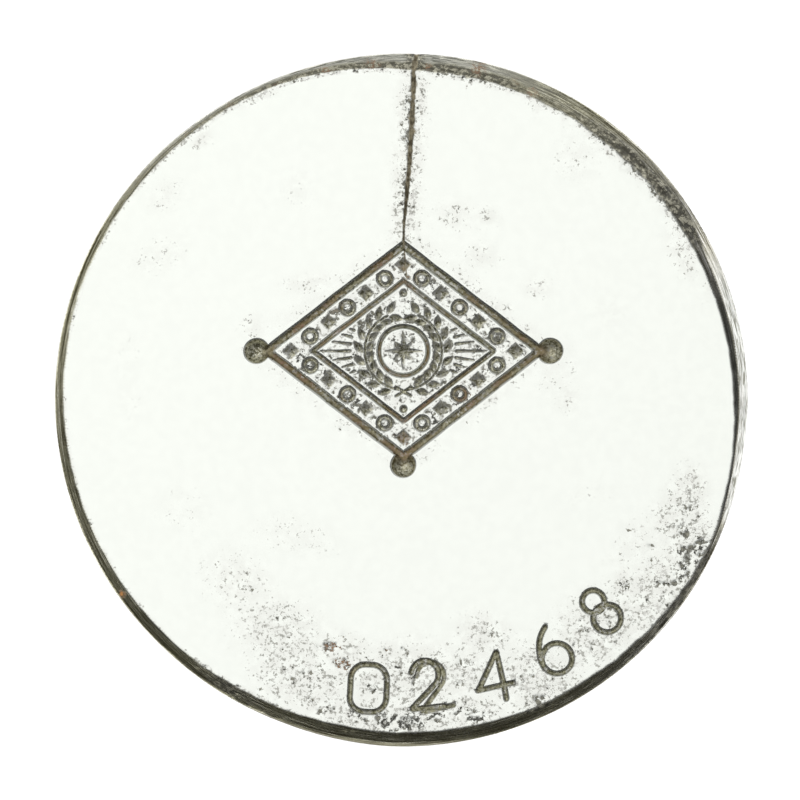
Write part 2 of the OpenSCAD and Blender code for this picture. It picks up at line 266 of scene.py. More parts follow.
# Where the stains are rust brown: x, y, reach and strength.
RUST = [
    (-6.7, -24.9, 1.4, 1.2), (-6.1, -26.5, 1.3, 1.2), (-1.6, -25.7, 0.9, 0.95),
    (7.1, -22.9, 1.0, 0.5), (-28.4, -19.7, 0.42, 1.7), (0.4, 12.6, 1.6, 0.7),
    (7.7, 33.5, 1.4, 0.8), (11.5, 32.2, 1.0, 0.6), (-3.0, 33.8, 1.2, 0.85), (-7.6, 33.0, 1.4, 0.8),
    (-12.4, 31.6, 1.0, 0.75), (13.2, 31.0, 1.0, 0.8), (2.6, 33.6, 0.7, 0.8),
    (-17.5, 29.8, 1.3, 0.6), (-21.6, 27.0, 1.2, 0.6), (-26.4, 22.2, 1.3, 0.55),
    (14.0, 4.9, 1.4, 0.6), (-13.0, 4.6, 1.6, 0.5), (0.2, -4.6, 2.4, 0.7),
    (6.5, 0.2, 1.8, 0.8), (-7.0, 9.5, 1.6, 0.6), (7.2, 10.0, 1.8, 0.6), (-6.4, 0.2, 1.4, 0.5),
]


# Numbers and noise

def step(t):
    """A smooth step from 0 to 1 as t goes from 0 to 1."""
    t = np.clip(t, 0, 1)
    return t * t * (3 - 2 * t)


def noise(p, size, seed):
    """Smooth noise from -1 to 1 with blobs of that size."""
    grid = 128
    table = np.random.default_rng(seed).uniform(-1, 1, (grid, grid))
    q = p / size
    cell = np.floor(q).astype(int)
    t = step(q - cell)
    i, j = (cell % grid).T
    i_next, j_next = (i + 1) % grid, (j + 1) % grid
    low = table[i, j] * (1 - t[:, 0]) + table[i_next, j] * t[:, 0]
    high = table[i, j_next] * (1 - t[:, 0]) + table[i_next, j_next] * t[:, 0]
    return low * (1 - t[:, 1]) + high * t[:, 1]


def grain(p, size, seed):
    """Noise in three sizes, each half the last."""
    total = noise(p, size, seed) + 0.5 * noise(p, size / 2, seed + 1) + 0.25 * noise(p, size / 4, seed + 2)
    return total / 1.3


def turned(p, degrees):
    """Points turned about the origin."""
    a = math.radians(degrees)
    return p @ np.array([[math.cos(a), math.sin(a)], [-math.sin(a), math.cos(a)]])


def polar(r, degrees):
    """Points at a distance and angle from the origin."""
    a = np.radians(degrees)
    return np.stack([r * np.cos(a), r * np.sin(a)], axis=-1)


def arc(centre, r, start, end, count):
    """Points along an arc."""
    return np.array(centre) + polar(r, np.linspace(start, end, count + 1))


# Sunk shapes. Each has depth(p), how far it is cut below the face at points p, and
# marks(), the points along its edges that the mesh needs.

MARK_SPACING = 0.12
# How many marks stand on a circle and round a groove's end, for each millimetre of radius.
MARKS_PER_R = 40
END_MARKS_PER_R = 30
# Further marks stand outside an edge: some close to it, and some farther out, which is
# farther still for punched strokes.
JUST_OUTSIDE = 0.09
OUTSIDE = 0.1
STROKE_OUTSIDE = 0.3


def segments(path, closed):
    """The two ends of each segment of a path."""
    ends = np.roll(path, -1, axis=0) if closed else path[1:]
    return zip(path, ends)


def along(path, closed, spacing):
    """Points along a path and its direction there."""
    points, ways = [], []
    for a, b in segments(path, closed):
        length = np.hypot(*(b - a))
        count = max(1, math.ceil(length / spacing))
        t = (np.arange(count) + 0.5)[:, None] / count
        points.append(a + (b - a) * t)
        ways.append(np.tile((b - a) / max(length, 1e-9), (count, 1)))
    return np.concatenate(points), np.concatenate(ways)


def leftwards(ways):
    """Directions a quarter turn to the left of these."""
    return np.stack([-ways[:, 1], ways[:, 0]], axis=1)


def cross(a, b):
    """The cross product of vectors in the plane."""
    return a[..., 0] * b[..., 1] - a[..., 1] * b[..., 0]


def distance(p, path, closed):
    """Distance of points p from a path, and how far along it the nearest place is, counted in segments."""
    best = np.full(len(p), np.inf)
    place = np.zeros(len(p))
    for k, (a, b) in enumerate(segments(path, closed)):
        way = b - a
        t = np.clip((p - a) @ way / max(way @ way, 1e-12), 0, 1)
        d = np.hypot(*(p - a - t[:, None] * way).T)
        nearer = d < best
        best = np.where(nearer, d, best)
        place = np.where(nearer, k + t, place)
    return best, place


class Groove:
    """A flat-bottomed groove along a path, with walls that take up a given width."""

    def __init__(self, path, half_width, depth, wall, closed=False, outside=OUTSIDE):
        self.path = np.array(path, float)
        self.half = np.broadcast_to(np.array(half_width, float), (len(self.path),))
        self.deep = depth
        self.wall = wall
        self.closed = closed
        self.outside = outside
        reach = self.half.max() + OUTSIDE
        self.low = self.path.min(axis=0) - reach
        self.high = self.path.max(axis=0) + reach

    def inside(self, p):
        """Distance inside the groove's edge."""
        d, place = distance(p, self.path, self.closed)
        widths = np.append(self.half, self.half[0]) if self.closed else self.half
        return np.interp(place, np.arange(len(widths)), widths) - d

    def depth(self, p):
        return self.deep * np.clip(self.inside(p) / self.wall, 0, 1)

    def marks(self):
        tolerance = 0.02
        points, ways = along(self.path, self.closed, MARK_SPACING)
        _, place = distance(points, self.path, self.closed)
        half = np.interp(place, np.arange(len(self.half)), self.half)
        found = [points]
        for inset in (-self.outside, -JUST_OUTSIDE, 0, self.wall):
            aside = leftwards(ways) * np.maximum(half - inset, 0)[:, None]
            edge = np.concatenate([points + aside, points - aside])
            for k in ([] if self.closed else [0, -1]):
                r = max(self.half[k] - inset, tolerance)
                count = max(5, round(r * END_MARKS_PER_R))
                edge = np.concatenate([edge, arc(self.path[k], r, 0, 360, count)])
            # At bends and ends some of them miss the edge and are dropped.
            found.append(edge[np.abs(self.inside(edge) - inset) < tolerance])
        return np.concatenate(found)


class Pit:
    """A hollow that slopes down from its outline, at the depth under, to its middle."""

    def __init__(self, outline, depth, under=0.0):
        self.path = np.array(outline, float)
        self.deep = depth
        self.under = under
        self.low = self.path.min(axis=0) - OUTSIDE
        self.high = self.path.max(axis=0) + OUTSIDE
        self.middle = (self.path.min(axis=0) + self.path.max(axis=0)) / 2

    def depth(self, p):
        q = p - self.middle
        deep = np.zeros(len(p))
        corners = self.path - self.middle
        for a, b in zip(corners, np.roll(corners, -1, axis=0)):
            between = (cross(a, q) >= 0) & (cross(q, b) >= 0)
            outwards = cross(b - a, q) / cross(b - a, a)
            deep = np.where(between & (outwards < 1), self.under + self.deep * (1 - outwards), deep)
        return deep

    def marks(self):
        points, ways = along(self.path, True, MARK_SPACING)
        found = [self.path, points, points - leftwards(ways) * JUST_OUTSIDE, self.middle[None]]
        for corner in self.path:
            found.append(along(np.array([self.middle, corner]), False, MARK_SPACING)[0])
        return np.concatenate(found)


class Disc:
    """A round hollow with a flat floor."""

    def __init__(self, centre, r, depth):
        self.centre = np.array(centre, float)
        self.r = r
        self.deep = depth
        self.low = self.centre - r - OUTSIDE
        self.high = self.centre + r + OUTSIDE
        self.rings = [r + OUTSIDE, r, r - DISC_WALL]

    def depth(self, p):
        return self.deep * np.clip((self.r - np.hypot(*(p - self.centre).T)) / DISC_WALL, 0, 1)

    def marks(self):
        return np.concatenate([arc(self.centre, r, 0, 360, round(r * MARKS_PER_R)) for r in self.rings])


class Ball(Disc):
    """A round cavity, part of a sphere."""

    def __init__(self, centre, r, depth):
        super().__init__(centre, r, depth)
        self.rings = [r + OUTSIDE, r, r - 0.12, r * 0.75, r * 0.45]

    def depth(self, p):
        sphere_r = (self.r ** 2 + self.deep ** 2) / (2 * self.deep)
        d2 = ((p - self.centre) ** 2).sum(axis=1)
        return np.maximum(np.sqrt(np.maximum(sphere_r ** 2 - d2, 0)) - (sphere_r - self.deep), 0)


def frame_inset(p):
    """How far inside the frame's outline each point is."""
    x, y = np.abs(p - DESIGN).T
    return (1 - x / FRAME_A - y / FRAME_B) * FRAME_IN


def bars(p):
    """The two bars and the disc's border, each as how far across it the points are and its width."""
    inset = frame_inset(p)
    from_disc = DISC_R - np.hypot(*(p - DESIGN).T)
    return [(inset, OUTER_BAR_W), (inset - BAND_W, INNER_BAR_W), (from_disc, BORDER_W)]


def on_bar(p):
    """1 on the bars and the border and 0 off them, with a soft edge."""
    return np.max([np.exp(-((across - w / 2) / (0.62 * w)) ** 4) for across, w in bars(p)], axis=0)


def beside_bar(p):
    """Distance to the nearest edge of a bar or of the border."""
    return np.min([np.abs(across - edge) for across, w in bars(p) for edge in (0, w)], axis=0)


def rhombus(inset):
    """The design's rhombus, moved inwards."""
    k = 1 - inset / FRAME_IN
    return DESIGN + k * np.array([(FRAME_A, 0), (0, FRAME_B), (-FRAME_A, 0), (0, -FRAME_B)])


def frame_shapes():
    """The two bars and the balls at the corners."""
    outer = rhombus(OUTER_BAR_W / 2)
    inner = rhombus(BAND_W + INNER_BAR_W / 2)
    shapes = [
        Groove(outer, OUTER_BAR_W / 2, OUTER_BAR_DEPTH, OUTER_BAR_WALL, closed=True),
        Groove(inner, INNER_BAR_W / 2, INNER_BAR_DEPTH, INNER_BAR_WALL, closed=True),
    ]
    for corner in ((FRAME_A + BALL_OUT, 0), (-FRAME_A - BALL_OUT, 0), (0, -FRAME_B - BALL_OUT)):
        shapes.append(Ball(DESIGN + corner, BALL_R, BALL_DEPTH))
    return shapes


def band_shapes():
    """Lozenges and rings in turn along the band."""
    shapes = []
    corners = rhombus((BAND_W + OUTER_BAR_W) / 2)
    steps = ORNAMENTS_PER_SIDE + 1
    for start, end in zip(corners, np.roll(corners, -1, axis=0)):
        for i in range(steps):
            at = start + (end - start) * i / steps
            if i % 2 == 0:
                outline = at + polar(ORNAMENT_R, np.arange(0, 360, 90))
                shapes.append(Pit(outline, ORNAMENT_DEPTH, BAND_DEPTH))
            else:
                ring = arc(at, ORNAMENT_R * RING_SHARE, 0, 345, 23)
                depth = BAND_DEPTH + ORNAMENT_DEPTH
                shapes.append(Groove(ring, ORNAMENT_R * RING_HALF_SHARE, depth, RING_WALL, closed=True))
    return shapes


def leaf(root, way):
    """A leaf from its root, pointing along way."""
    t = np.linspace(0, 1, 8)[1:-1]
    half = LEAF_W / 2 * np.sin(np.pi * t ** 0.85)
    rib = np.array([(0, 0), (LEAF_L, 0)])
    side = np.stack([LEAF_L * t, half], axis=1)
    outline = np.concatenate([rib[:1], side * (1, -1), rib[1:], side[::-1]])
    return Pit(root + turned(outline, way), LEAF_DEPTH)


def wreath_shapes():
    """Two leafy branches, tied at the foot and open at the top."""
    shapes = []
    first = -90 + BRANCH_START
    last = 90 - BRANCH_STOP
    for side in (1, -1):
        branch = arc((0, 0), WREATH_R, first - STEM_TURN, last, 16) * (side, 1)
        shapes.append(Groove(DESIGN + branch, BRANCH_HALF_W, BRANCH_DEPTH, BRANCH_WALL))
        for i in range(LEAF_PAIRS):
            a = first + (last - first) * i / (LEAF_PAIRS - 1)
            for out in (-1, 1):
                root = polar(WREATH_R + out * BRANCH_HALF_W, a) * (side, 1)
                way = a + 90 - out * LEAF_SPLAY
                shapes.append(leaf(DESIGN + root, way if side == 1 else 180 - way))
    for side in (1, -1):
        end = DESIGN + [(-TIE_HALF_SPAN * side, TIE_FOOT_Y), (TIE_HALF_SPAN * side, TIE_TOP_Y)]
        shapes.append(Groove(end, TIE_HALF_W, TIE_DEPTH, TIE_WALL))
    return shapes


def star_shapes():
    """A star with long and short points in a sunk disc, which is deeper round its edge."""
    turns = np.arange(2 * STAR_POINTS)
    points = np.where(turns % 4 == 0, STAR_R, STAR_R * SHORT_SHARE)
    reach = np.where(turns % 2 == 1, STAR_R * NOTCH_SHARE, points)
    outline = DESIGN + polar(reach, turns * 180 / STAR_POINTS)
    border = arc(DESIGN, DISC_R - BORDER_W / 2, 0, 350, 35)
    return [Disc(DESIGN, DISC_R, DISC_DEPTH), Pit(outline, STAR_DEPTH, DISC_DEPTH),
            Groove(border, BORDER_W / 2, DISC_DEPTH + BORDER_DEPTH, BORDER_WALL, closed=True)]


def ray_shapes():
    """Rays that fill the frame's two long corners, and a bead in each of the others."""
    shapes = []
    k = 1 - (BAND_W + INNER_BAR_W) / FRAME_IN
    for side in (0, 180):
        for i in range(RAYS):
            a = side + (i - (RAYS - 1) / 2) * RAY_STEP
            way = polar(1, a)
            reach = 1 / (abs(way[0]) / (k * FRAME_A) + abs(way[1]) / (k * FRAME_B)) - RAY_GAP
            if reach > RAY_START + SHORTEST_RAY:
                ray = DESIGN + np.outer([RAY_START, reach], way)
                shapes.append(Groove(ray, RAY_HALF_WIDTHS, RAY_DEPTH, RAY_WALL))
    for up in (1, -1):
        shapes.append(Ball(DESIGN + (0, BEAD_AT * up), BEAD_R, BEAD_DEPTH))
    return shapes


def figure_strokes(figure):
    """The strokes of a numeral one unit high, as (path, closed), about its centre."""
    if figure == "0":
        x, y, r = 0.085, 0.2, 0.3
        corners = [arc((sx * x, sy * y), r, start, start + 90, 6)
                   for sx, sy, start in ((1, 1, 0), (-1, 1, 90), (-1, -1, 180), (1, -1, 270))]
        return [(np.concatenate(corners), True)]
    if figure == "2":
        top_r, half_w = 0.295, 0.335
        bow = arc((0, 0.5 - top_r), top_r, 165, -38, 12)
        return [(np.concatenate([bow, [(-half_w, -0.48)]]), False),
                (np.array([(-half_w, -0.5), (half_w, -0.5)]), False)]
    if figure == "4":
        stem, bar = 0.16, -0.2
        return [(np.array([(stem - 0.02, 0.5), (-0.37, bar + 0.02)]), False),
                (np.array([(-0.4, bar), (0.37, bar)]), False),
                (np.array([(stem, 0.5), (stem, -0.5)]), False)]
    if figure == "6":
        r, back_r = 0.325, 0.79
        return [(arc((0, r - 0.5), r, 0, 345, 23), True),
                (arc((back_r - r, r - 0.49), back_r, 176, 118, 9), False)]
    top_r, foot_r = 0.24, 0.3
    return [(arc((0, 0.5 - top_r), top_r, 0, 340, 17), True),
            (arc((0, foot_r - 0.5), foot_r, 10, 350, 20), True)]


def numeral(figure, centre, turn, depth):
    """The grooves of one numeral at its place."""
    grooves = []
    for path, closed in figure_strokes(figure):
        stroke = centre + turned(path * DIGIT_H, turn)
        grooves.append(Groove(stroke, STROKE_W / 2, depth, STROKE_WALL, closed, STROKE_OUTSIDE))
    return grooves


def numeral_shapes():
    """Five numerals punched by hand, the second of them struck twice."""
    shapes = []
    for figure, a, lean, off in NUMERALS:
        shapes += numeral(figure, polar(DIGIT_ARC_R + off, a), a + 90 + lean, STROKE_DEPTH)
    figure, a = NUMERALS[1][:2]
    ghost = polar(DIGIT_ARC_R, a) + GHOST_SHIFT
    shapes += numeral(figure, ghost, a + 90 + GHOST_TURN, GHOST_DEPTH)
    return shapes


# The surface, from the flat layout into space

def wander(p):
    """A slight waver of every cut line, so that none is drawn with a ruler."""
    return WANDER * np.stack([noise(p, WANDER_SIZE, 11), noise(p, WANDER_SIZE, 12)], axis=1)


def density(p):
    """How pitted and stained the face is, from 0 to 1, and more where it is eaten away most."""
    total = np.zeros(len(p))
    for x, y, along_, across, turn, strength in WEAR:
        q = turned(p - (x, y), -turn) / (along_, across)
        total = np.maximum(total, strength * np.exp(-(q ** 2).sum(axis=1)))
    # Beside the crack, then inside the frame, then in a halo round it.
    d, _ = distance(p, CRACK[:, :2], False)
    total = np.maximum(total, (0.74 + 0.25 * noise(p, 2.5, 21)) * np.exp(-(d / 1.4) ** 2))
    inset = frame_inset(p)
    total = np.maximum(total, step(inset / 0.8) * (0.76 + 0.34 * noise(p, 1.5, 22)))
    halo = np.exp(-(np.minimum(inset, 0) / 1.6) ** 2)
    total = np.maximum(total, halo * (0.3 + 0.14 * noise(p, 1.8, 24)))
    # A clean bright lip runs along each bar.
    return total * step(beside_bar(p) / 0.24) * (np.hypot(*p.T) < BODY_R + 1)


def rust(p):
    """How brown the metal is, from 0 to 1, and more where it is fresh orange rust."""
    total = on_bar(p) * (0.44 + 0.5 * grain(p, 2.4, 23))
    for x, y, reach, strength in RUST:
        total = np.maximum(total, strength * np.exp(-((p - (x, y)) ** 2).sum(axis=1) / reach ** 2))
    return total


def pitting(p, worn):
    """How far corrosion has eaten the face away, from 0 to 1."""
    return step((grain(p, 0.6, 31) - (0.98 - 0.9 * worn)) * 2.4) * (worn > 0.12)


def crack(p):
    """Depth of the crack, and a mask of it for the material."""
    d, place = distance(p, CRACK[:, :2], False)
    half = np.interp(place, np.arange(len(CRACK)), CRACK[:, 2])
    half = half * (1 + 0.32 * noise(p, 0.6, 41) + 0.25 * noise(p, 0.22, 42))
    inside = half - d
    # It is only a shallow line on the rim and down the side.
    deep = CRACK_DEPTH * np.interp(np.hypot(*p.T), [BODY_R - 2.2, BODY_R - 1], [1, 0.25])
    return deep * step(inside / np.maximum(half, 0.05)), step((inside + 0.03) / 0.06)


def rim_at(q):
    """The rim table's columns at the angle of each point, and that angle."""
    a = np.degrees(np.arctan2(q[:, 1], q[:, 0])) % 360
    return [np.interp(a, RIM[:, 0], column, period=360) for column in RIM.T[1:]], a


def beside_angle(a, middle, reach, strength):
    """The strength at an angle, falling to 0 that far from it on each side."""
    return strength * step(1 - np.abs(a - middle) / reach)


def rise(t, width):
    """A smooth step over a width, summed up from 0 to t."""
    u = np.clip(t / width, 0, 1)
    return width * (u ** 3 - u ** 4 / 2) + np.maximum(t - width, 0)


def ragged_edge(a, r):
    """How far the bevel's inner edge strays from its circle."""
    ragged = np.max([beside_angle(a, *place) for place in RAGGED], axis=0)
    unrolled = np.stack([np.radians(a) * BODY_R, r], axis=1)
    return 0.05 * noise(unrolled, 0.9, 51) + ragged * 0.16 * grain(unrolled * (0.7, 1.4), 0.7, 52)


def rim_tone(a, across, past, ledge_width, corroded):
    """How corroded the rim is, and its painted light: painted highlight above 0, painted shade below. Across
    runs from 0 to 1 over its width.
    """
    # Painted highlight on a broad ledge, at 1, with a band of painted shade inside it, at -1.
    # A thin ledge gets painted shade, at -0.75.
    on_ledge = step(past / LEDGE_TURN)
    broad = step((ledge_width - 0.4) / 0.2)
    painted_light = on_ledge * (1.75 * broad - 0.75) - broad * (1 - on_ledge)
    painted_light = painted_light * (1 - beside_angle(a, *LEDGE_FADES))
    # Less corrosion and a painted highlight on the bevel's outer half near the top.
    clean_and_sheen = step(1.6 - np.abs(a - SHEEN_CLEAN_ANGLE) / SHEEN_CLEAN_REACH) * step((across - 0.42) / 0.2)
    # Corrosion has hold of the bevel's inner part, and lets go of the outer part and the side.
    outer = step((across - 0.5) / 0.25)
    corroded = corroded * (1 - 0.8 * clean_and_sheen) * (1 - 0.55 * outer)
    # Darker places on the rim, and painted shade over the rim's inner half at the foot.
    darkening = sum(beside_angle(a, *place) for place in DARKER_RIM)
    darkening = darkening + beside_angle(a, *INNER_PAINTED_SHADE) * (1 - outer)
    return corroded, painted_light + clean_and_sheen - darkening


def skin(q):
    """Places in space of points of the layout, the way out of the metal there, and how far
    into the rim and how corroded each point is, and the rim's painted highlight and shade there."""
    r = np.maximum(np.hypot(*q.T), 1e-9)
    unit = q / r[:, None]
    (width, ledge, corroded, short), a = rim_at(q)
    # The top, out to the rim's edge.
    on_top = np.minimum(r, BODY_R)
    drawn = on_top - short * np.clip((on_top - (BODY_R - RIM_ZONE)) / RIM_ZONE, 0, 1)
    over = drawn - (BODY_R - width) + ragged_edge(a, on_top)
    on_bevel = np.maximum(over, 0)
    past = np.maximum(drawn - (BODY_R - ledge), 0)
    edge_z = FACE_Z - BEVEL_SLOPE * rise(on_bevel, BEVEL_ROUND) - LEDGE_SLOPE * rise(past, LEDGE_TURN)
    slope = BEVEL_SLOPE * step(on_bevel / BEVEL_ROUND) + LEDGE_SLOPE * step(past / LEDGE_TURN)
    # The side, the chamfer and the base.
    stations = [BODY_R, SIDE_END, CHAMFER_END, LAYOUT_R]
    lower_r = np.interp(r, stations, [0, 0, BASE_CHAMFER, BODY_R - HUB_R])
    radius = np.where(r < BODY_R, drawn, (BODY_R - short) * (1 - lower_r / BODY_R))
    down = np.clip((r - BODY_R) / SIDE_RINGS, 0, 1)
    lower_z = np.interp(r, [SIDE_END, CHAMFER_END], [BASE_CHAMFER, 0])
    z = np.where(r < SIDE_END, edge_z + (BASE_CHAMFER - edge_z) * down, lower_z)
    # The way out of the metal leans from straight up on the face to straight down on the base.
    bends = [BODY_R, BODY_R + 0.3, SIDE_END - 0.3, CHAMFER_END, CHAMFER_END + 1]
    side_tilt = np.interp(r, bends, [65, 90, 90, 135, 180])
    tilt = np.radians(np.where(r < BODY_R, np.degrees(np.arctan(slope)), side_tilt))
    place = np.column_stack([unit * radius[:, None], z])
    out = np.column_stack([unit * np.sin(tilt)[:, None], np.cos(tilt)])
    corroded, painted_light = rim_tone(a, over / width, past, ledge - short, corroded)
    return place, out, over, corroded, painted_light * (r < BODY_R + 0.2)


def sunk_depth(p, shapes):
    """Depth of the deepest shape at each point."""
    deepest = np.zeros(len(p))
    for shape in shapes:
        near = np.flatnonzero(((p > shape.low) & (p < shape.high)).all(axis=1))
        if len(near):
            deepest[near] = np.maximum(deepest[near], shape.depth(p[near]))
    return deepest


def polished_floor(p):
    """Depth of the sunk fields that are polished: the band between the bars, and the disc."""
    inset = frame_inset(p)
    in_band = (inset > OUTER_BAR_W / 2) & (inset < BAND_W + INNER_BAR_W / 2)
    in_disc = np.hypot(*(p - DESIGN).T) < DISC_R - BORDER_W / 2
    return DISC_DEPTH * in_disc + BAND_DEPTH * in_band


# Mesh points. They lie along every cut edge, in rings round the rim, and otherwise as
# dense as the wear there needs.

FINEST_CELL = 0.05
# How far the numerals reach from their arc, and on each side of the middle one.
NUMERALS_REACH = 3.4
NUMERALS_SPREAD = 32


def ring_points():
    """Points in rings for the bevel, the side, the chamfer and the base."""
    # Each row is the radius of a ring and the spacing along it.
    rows = [(BODY_R - inset, 0.3) for inset in np.arange(0, 2.2, 0.1)]
    rows += [(BODY_R + d, 0.5) for d in (0.15, 0.4, 0.8)]
    rows += [(r, 1.1) for r in np.arange(BODY_R + 1.4, SIDE_END - 1, 1.0)]
    rows += [(SIDE_END - 0.3, 1.1), (SIDE_END, 1.1), (SIDE_END + 0.5, 1.2)]
    rows += [(CHAMFER_END, 1.2), (CHAMFER_END + 0.6, 1.2)]
    rows += [(CHAMFER_END + 5, 3.0), (LAYOUT_R, 9.0)]
    rings = []
    for k, (r, spacing) in enumerate(rows):
        count = round(2 * math.pi * r / spacing)
        rings.append(polar(r, (np.arange(count) + 0.5 * (k % 2)) * 360 / count))
    return np.concatenate(rings)


def crack_points():
    """Rows of points along the crack and beside it."""
    points, ways = along(CRACK[:, :2], False, 0.1)
    half = np.interp(points[:, 1], CRACK[:, 1], CRACK[:, 2])[:, None]
    offsets = (-2.2, -1.35, -0.9, -0.45, 0, 0.45, 0.9, 1.35, 2.2)
    return np.concatenate([points + leftwards(ways) * half * k for k in offsets])


def filling(rng):
    """Scattered points over the face, closer together where it is worn or cut."""
    step_size = 0.17
    ticks = np.arange(-BODY_R, BODY_R, step_size)
    p = np.stack(np.meshgrid(ticks, ticks), axis=-1).reshape(-1, 2)
    p = p[np.hypot(*p.T) < BODY_R - 0.4]
    worn = density(p)
    x, y = np.abs(p - DESIGN).T
    in_design = x / (FRAME_A + 2) + y / (FRAME_B + 2) < 1
    a = np.degrees(np.arctan2(p[:, 1], p[:, 0]))
    middle = NUMERALS[2][1]
    by_numerals = np.abs(np.hypot(*p.T) - DIGIT_ARC_R) < NUMERALS_REACH
    by_numerals = by_numerals & (np.abs(a - middle) < NUMERALS_SPREAD)
    spacing = np.interp(worn, [0.1, 0.25, 0.45], [0.8, 0.34, 0.17])
    spacing = np.where(in_design, np.minimum(spacing, 0.26), spacing)
    spacing = np.where(by_numerals, np.minimum(spacing, 0.34), spacing)
    kept = rng.random(len(p)) < (step_size / spacing) ** 2
    return (p + rng.uniform(-0.3, 0.3, p.shape) * step_size)[kept]


def thinned(groups):
    """The points of all groups, one to a cell. Each group keeps its margin, in cells, from the last."""
    side = int(2 * (LAYOUT_R + 1) / FINEST_CELL)
    taken = np.zeros((side, side), bool)
    kept = []
    for p, margin in groups:
        i, j = np.floor((p + LAYOUT_R + 1) / FINEST_CELL).astype(int).T
        _, first = np.unique(i * side + j, return_index=True)
        p, i, j = p[first], i[first], j[first]
        near = np.zeros(len(p), bool)
        for di in range(-margin, margin + 1):
            for dj in range(-margin, margin + 1):
                near |= taken[np.clip(i + di, 0, side - 1), np.clip(j + dj, 0, side - 1)]
        kept.append(p[~near])
        taken[i[~near], j[~near]] = True
    return np.concatenate(kept)


def layout_points(shapes):
    """Every mesh point, in the flat layout."""
    rng = np.random.default_rng(7)
    marks = np.concatenate([shape.marks() for shape in shapes])
    marks = marks - wander(marks)
    return thinned([(ring_points(), 0), (crack_points(), 0), (marks, 0), (filling(rng), 1)])


def block_mesh():
    """The whole die as one closed mesh, with its wear and the rim's painted light stored on its points."""
    shapes = frame_shapes() + band_shapes() + wreath_shapes() + star_shapes() + ray_shapes()
    shapes = shapes + numeral_shapes()
    layout = [Vector(p) for p in layout_points(shapes)]
    verts, _, faces, *_ = delaunay_2d_cdt(layout, [], [], 0, 1e-7, False)
    q = np.array([(v.x, v.y) for v in verts])
    place, out, over, corroded, painted_light = skin(q)
    from_axis = np.hypot(*q.T)
    # Corrosion covers the bevel and creeps a little way in over the face.
    beside_edge = np.exp(-((over + 0.05) / 0.28) ** 2)
    rim_worn = corroded * np.maximum(0.85 * step(over / 0.1), beside_edge) * (from_axis < SIDE_END)
    worn = np.maximum(density(q), rim_worn)
    # The depth of what is cut or punched, then of the crack and the pits as well.
    p = q + wander(q)
    cut = np.where(from_axis < BODY_R, sunk_depth(p, shapes), 0)
    floor = polished_floor(p)
    cut = np.where(floor > 0, np.maximum(cut, floor), cut)
    dull = step((cut - floor) / 0.08)
    mottle = dull * 0.025 * grain(q, 0.5, 61)
    split, in_crack = crack(q)
    pits = pitting(q, worn)
    depth = np.maximum(cut + mottle, split) + PIT_DEPTH * pits * (1 - dull)
    place = place - out * depth[:, None]
    # One polygon, the hub, closes the base inside the last ring.
    last = np.flatnonzero(from_axis > LAYOUT_R - 0.01)
    hub = last[np.argsort(np.arctan2(q[last, 1], q[last, 0]))][::-1]
    mesh = bpy.data.meshes.new("die")
    mesh.from_pydata((place * MM).tolist(), [], list(faces) + [hub.tolist()])
    mesh.shade_smooth()
    stored = {
        "dull": dull, "pits": pits, "worn": worn, "rust": rust(q), "crack": in_crack,
        "motif": step(frame_inset(p) + GLINT_REACH) * (1 - on_bar(p)),
        # The rim's painted highlight and shade are stored with the wear.
        "bevel": step(over / 0.12), "painted_light": painted_light, "ring": from_axis,
    }
    for name, values in stored.items():
        mesh.attributes.new(name, "FLOAT", "POINT").data.foreach_set("value", values.astype(np.float32))
    mesh.validate()
    return mesh


# Materials

class Graph:
    """The nodes of a material or of the world, made by short calls."""

    def __init__(self, owner):
        owner.use_nodes = True
        self.tree = owner.node_tree

    def set(self, socket, value):
        """Link a socket to another node's output, or give it a value."""
        if isinstance(value, bpy.types.NodeSocket):
            self.tree.links.new(value, socket)
        elif isinstance(value, tuple) and len(value) == 3 and socket.type == "RGBA":
            socket.default_value = (*value, 1)
        else:
            socket.default_value = value

    def node(self, kind, out=0, inputs=(), **settings):
        """One output of a new node."""
        made = self.tree.nodes.new("ShaderNode" + kind)
        for key, value in settings.items():
            setattr(made, key, value)
        for key, value in dict(inputs).items():
            self.set(made.inputs[key], value)
        return made.outputs[out]

    def attribute(self, name):
        return self.node("Attribute", "Fac", attribute_name=name)

    def math(self, operation, a, b=0.0):
        return self.node("Math", inputs={0: a, 1: b}, operation=operation)

    def plus(self, a, b):
        return self.math("ADD", a, b)

    def minus(self, a, b):
        return self.math("SUBTRACT", a, b)

    def times(self, a, b):
        return self.math("MULTIPLY", a, b)

    def most(self, a, b):
        return self.math("MAXIMUM", a, b)

    def weighed(self, *parts):
        """The sum of values, each given with its weight."""
        total, *others = [self.times(value, weight) for value, weight in parts]
        for term in others:
            total = self.plus(total, term)
        return total

    def between(self, value, low, high, to_low=0.0, to_high=1.0):
        """Value mapped smoothly from low..high to to_low..to_high."""
        places = {"Value": value, "From Min": low, "From Max": high, "To Min": to_low, "To Max": to_high}
        return self.node("MapRange", inputs=places, interpolation_type="SMOOTHSTEP")

    def split(self, vector):
        """A vector's x, y and z."""
        made = self.tree.nodes.new("ShaderNodeSeparateXYZ")
        self.set(made.inputs[0], vector)
        return made.outputs

    def noise(self, vector, scale, detail=2.0, roughness=0.5):
        places = {"Vector": vector, "Scale": scale, "Detail": detail, "Roughness": roughness}
        return self.node("TexNoise", inputs=places)

    def mix(self, factor, a, b):
        """A colour between a and b. A factor below 0 counts as 0."""
        made = self.tree.nodes.new("ShaderNodeMix")
        made.data_type = "RGBA"
        self.set(made.inputs[0], factor)
        self.set(made.inputs[6], a)
        self.set(made.inputs[7], b)
        return made.outputs[2]

    def blend(self, factor, a, b):
        """A number between a and b."""
        made = self.tree.nodes.new("ShaderNodeMix")
        self.set(made.inputs[0], factor)
        self.set(made.inputs[2], a)
        self.set(made.inputs[3], b)
        return made.outputs[0]


